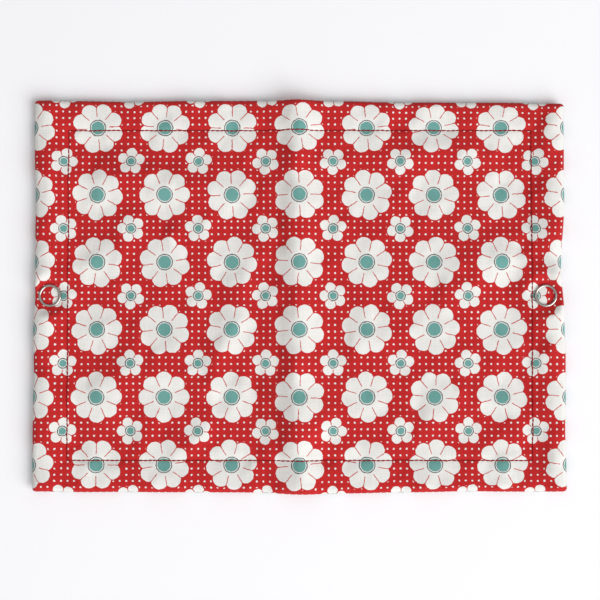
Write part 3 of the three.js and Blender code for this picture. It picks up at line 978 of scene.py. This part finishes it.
def snap_ring(name, body, snap_x, lift, prong_tip):
    """The ring with its prongs, which end at the height prong_tip"""
    base = flat_height + lift - snap_press + ring_seat
    bm = bmesh.new()
    bmesh.ops.create_circle(bm, segments=20, radius=1)
    band = (ring_radius - ring_inner) / 2
    for vert in bm.verts:
        over = vert.co.y > 0
        rise = ring_foot + vert.co.y * ((ring_height - ring_foot) if over else ring_foot)
        vert.co = ((ring_radius + ring_inner) / 2 + vert.co.x * band, 0, base + rise)
    spin_round(bm, bm.verts[:] + bm.edges[:], 72)
    root = base + ring_height / 2
    for k in range(prong_count):
        turn = Matrix.Rotation(2 * math.pi * k / prong_count, 4, "Z")
        place = turn @ Matrix.Translation((prong_circle, 0, (root + prong_tip) / 2))
        size = Matrix.Diagonal((*prong_size, root - prong_tip, 1))
        prong = bmesh.ops.create_cube(bm, size=1, matrix=place @ size)["verts"]
        low = [vert for vert in prong if vert.co.z < root - 0.1]
        to_middle = (turn @ Matrix.Translation((prong_circle, 0, prong_tip))).inverted()
        bmesh.ops.scale(bm, vec=(1, prong_tip_share, 1), space=to_middle, verts=low)
    bmesh.ops.translate(bm, vec=(snap_x, 0, 0), verts=bm.verts[:])
    ring = made_piece(bm, name, nickel)
    round_edges(ring, 0.04, 2, 50)
    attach(ring, body)
    return ring


left_ring = snap_ring("left_ring_cap", "back_half", snap_left, lift_left, 1.35)
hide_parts("back_snap_ring")
right_ring = snap_ring("right_ring_cap", "front_half", snap_right, lift_right, 2.25)
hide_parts("front_snap_ring")

# The back half's prongs are clinched in a pressed socket under the hem. A ring of spring
# wire, open on one side, lies in its bore and grips the post.
snap_radius = 5.25
groove_outer = 4.95
groove_inner = 4.25
socket_bore = 2.05
spring_pocket = 3
spring_wire = 0.5
spring_circle = 2.2
spring_middle = 0.95
spring_open = 30  # degrees
wire_colour = (155, 154, 152)


def spun_part(name, outline, snap_x, body, node):
    """A pressed part of the snap, turned from its outline of radius and height"""
    bm = bmesh.new()
    verts = [bm.verts.new((radius, 0, height)) for radius, height in outline]
    edges = [bm.edges.new(pair) for pair in zip(verts, verts[1:])]
    if outline[0][0]:
        edges.append(bm.edges.new((verts[-1], verts[0])))
    spin_round(bm, verts + edges, 64)
    bmesh.ops.translate(bm, vec=(snap_x, 0, 0), verts=bm.verts[:])
    part = made_piece(bm, name, nickel)
    round_edges(part, 0.09, 3, 35)
    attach(part, body)
    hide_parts(node)


socket_outline = [
    (2.4, 0),
    (4.9, 0),
    (snap_radius, 0.35),
    (snap_radius, 2),
    (groove_outer, 2),
    (groove_outer, 1.1),
    (groove_inner, 1.1),
    (groove_inner, 1.6),
    (socket_bore, 1.6),
    (socket_bore, 1.35),
    (spring_pocket, 1.35),
    (spring_pocket, 0.55),
    (socket_bore, 0.55),
    (socket_bore, 0.35),
]
spun_part("socket_shell", socket_outline, snap_left, "back_half", "snap_socket")
bm = bmesh.new()
bmesh.ops.create_circle(bm, cap_ends=True, segments=12, radius=spring_wire / 2)
upright = Matrix.Rotation(math.pi / 2, 3, "X")
bmesh.ops.rotate(bm, cent=(0, 0, 0), matrix=upright, verts=bm.verts[:])
bmesh.ops.translate(bm, vec=(spring_circle, 0, spring_middle), verts=bm.verts[:])
start = Matrix.Rotation(math.radians(spring_open / 2), 3, "Z")
bmesh.ops.rotate(bm, cent=(0, 0, 0), matrix=start, verts=bm.verts[:])
spin_round(bm, bm.verts[:] + bm.edges[:] + bm.faces[:], 44, math.radians(360 - spring_open))
bmesh.ops.translate(bm, vec=(snap_left, 0, 0), verts=bm.verts[:])
spring = made_piece(bm, "spring_ring", bright_metal("spring steel", wire_colour, 0.25, 0.45))
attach(spring, "back_half")
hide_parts("snap_spring")

# The front half's prongs hold the stud: a flange with a hollow post drawn out of it, whose
# head is a little wider than its neck.
stud_outline = [
    (0, 0),
    (1.1, 0),
    (1.6, 0.12),
    (1.85, 0.42),
    (1.8, 0.65),
    (1.6, 0.88),
    (1.6, 1.5),
    (1.8, 1.7),
    (4.9, 1.7),
    (snap_radius, 2.05),
    (snap_radius, 2.7),
    (groove_outer, 2.7),
    (groove_outer, 2),
    (groove_inner, 2),
    (groove_inner, 2.5),
    (1.3, 2.5),
    (1.3, 0.3),
    (0, 0.3),
]
spun_part("stud_shell", stud_outline, snap_right, "front_half", "snap_stud")

# The folder lies on plain white paper in soft daylight that comes from the lower right. The
# camera looks down on it, leaning a little to the near side.
camera_distance = 700
camera_lean = 2.24  # degrees
camera_aim = (0.3, -2, 4)
camera_lens = 87.9
light_distance = 3000
light_height = 40  # degrees above the table
light_turn = 50  # degrees from the near side to the right
light_size = 2.5
light_power = 90
sky_strength = 0.555
wall_share = 0.08  # light from the walls of the room against that from over the table
sky_near = (1.4, 1.37, 1.35)  # light from over the near side of the table
sky_far = (0.625, 0.61, 0.61)
window_white = (0.98, 0.985, 0.99)
paper_white = (245, 245, 248)
under_table = 0.8  # light from under the table, which only the folder's inside sees
paper_gap = 12  # light that bounces across less than this passes through the paper
table_reach = 12000
backdrop_pale = (200, 201, 204)  # the wall as the camera sees it


def paper():
    """White paper, see-through from below and for light that bounces close under the folder"""
    material, tree, shader = new_material("paper")
    place = wire(tree, "TexCoord", {}, "Object")
    grain = wire(tree, "TexNoise", {"Vector": place, "Scale": 900, "Detail": 3})
    grained = tinted(tree, grain, linear(paper_white, 0.985), linear(paper_white))
    feed(tree, shader, {"Base Color": grained, "Roughness": 0.9, "Specular IOR Level": 0.1})
    clear = wire(tree, "BsdfTransparent", {})
    behind = wire(tree, "NewGeometry", {}, "Backfacing")
    light_path = tree.nodes.new("ShaderNodeLightPath").outputs
    bounced = reckon(tree, "MAXIMUM", light_path["Is Diffuse Ray"], light_path["Is Glossy Ray"])
    close_by = reckon(tree, "LESS_THAN", light_path["Ray Length"], paper_gap * MM)
    covered = reckon(tree, "MULTIPLY", bounced, close_by)
    see_through = reckon(tree, "MAXIMUM", behind, covered)
    shown = wire(tree, "MixShader", {0: see_through, 1: shader.outputs[0], 2: clear})
    tree.links.new(shown, tree.nodes["Material Output"].inputs[0])
    return material


bm = bmesh.new()
bmesh.ops.create_grid(bm, x_segments=8, y_segments=8, size=table_reach)
table = made_piece(bm, "table", paper())

world = bpy.data.worlds.new("daylight")
world.use_nodes = True
tree = world.node_tree
sky = tree.nodes["Background"]
around = tree.nodes.new("ShaderNodeSeparateXYZ")
tree.links.new(wire(tree, "TexCoord", {}, "Generated"), around.inputs[0])
to_far = wire(tree, "MapRange", {0: around.outputs[1], 1: -1, 2: 1, 3: 0, 4: 1})
rising = {0: around.outputs[2], 1: 0.05, 2: 0.35, 3: wall_share, 4: 1}
sinking = {0: around.outputs[2], 1: -0.05, 2: -0.35, 3: 0, 4: under_table}
glow = reckon(tree, "ADD", wire(tree, "MapRange", rising), wire(tree, "MapRange", sinking))
walls = wire(tree, "CombineColor", {0: glow, 1: glow, 2: glow})
overhead = tinted(tree, to_far, (*sky_near, 1), (*sky_far, 1))
room = tinted(tree, 1, overhead, walls, "MULTIPLY")
seen = wire(tree, "LightPath", {}, "Is Camera Ray")
backdrop = linear(backdrop_pale, 1 / sky_strength)
tree.links.new(tinted(tree, seen, room, backdrop), sky.inputs["Color"])
sky.inputs["Strength"].default_value = sky_strength
bpy.context.scene.world = world

window = bpy.data.lights.new("window", "AREA")
window.size = light_size
window.energy = light_power
window.color = window_white
height, turn = math.radians(light_height), math.radians(light_turn)
level = math.cos(height)
toward = Vector((level * math.sin(turn), -level * math.cos(turn), math.sin(height)))
window_light = bpy.data.objects.new("window", window)
window_light.location = toward * light_distance * MM
window_light.rotation_euler = toward.to_track_quat("Z", "Y").to_euler()
bpy.context.scene.collection.objects.link(window_light)

view = bpy.data.cameras.new("camera")
view.lens = camera_lens
camera = bpy.data.objects.new("camera", view)
lean = math.radians(camera_lean)
back = Vector((0, -math.sin(lean), math.cos(lean)))
camera.location = (Vector(camera_aim) + back * camera_distance) * MM
camera.rotation_euler = (lean, 0, 0)
bpy.context.scene.collection.objects.link(camera)
bpy.context.scene.camera = camera
bpy.context.scene.view_settings.view_transform = "Standard"
